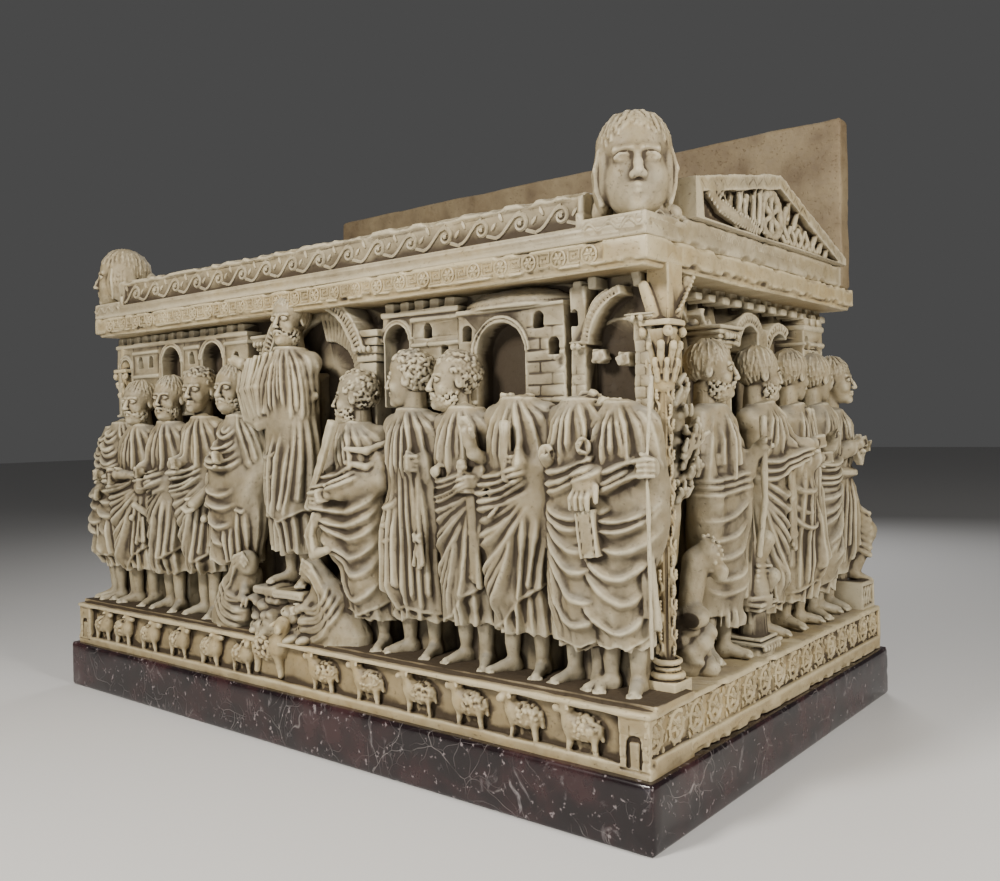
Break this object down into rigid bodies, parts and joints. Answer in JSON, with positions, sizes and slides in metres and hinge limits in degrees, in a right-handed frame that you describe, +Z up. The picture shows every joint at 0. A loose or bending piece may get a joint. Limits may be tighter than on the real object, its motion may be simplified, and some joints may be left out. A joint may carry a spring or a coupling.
{
  "type": "carved stone sarcophagus",
  "caption": "Marble sarcophagus in high relief: robed figures before city gates, lambs on the base, gabled lid with corner heads, tall plain rear slab, dark veined plinth.",
  "frame": {"origin": "centre of the plinth's underside", "axes": "+X along the long front, to the right as the front is faced; the carved front faces -Y; +Z up"},
  "size_m": [2.534, 1.619, 1.957],
  "materials": {
    "carved_marble": "weathered grey-beige marble, brown dirt in the recesses, paler worn highlights",
    "lid_marble": "weathered pale marble with pitting and ochre patches",
    "slab_marble": "sawn marble, mottled, rust-brown stains",
    "dark_marble": "polished red-black marble with white veins and specks"
  },
  "bodies": {
    "root": {"plinth": "dark_marble", "chest": "carved_marble", "lid": "lid_marble", "rear_slab": "slab_marble"}
  },
  "joints": []
}
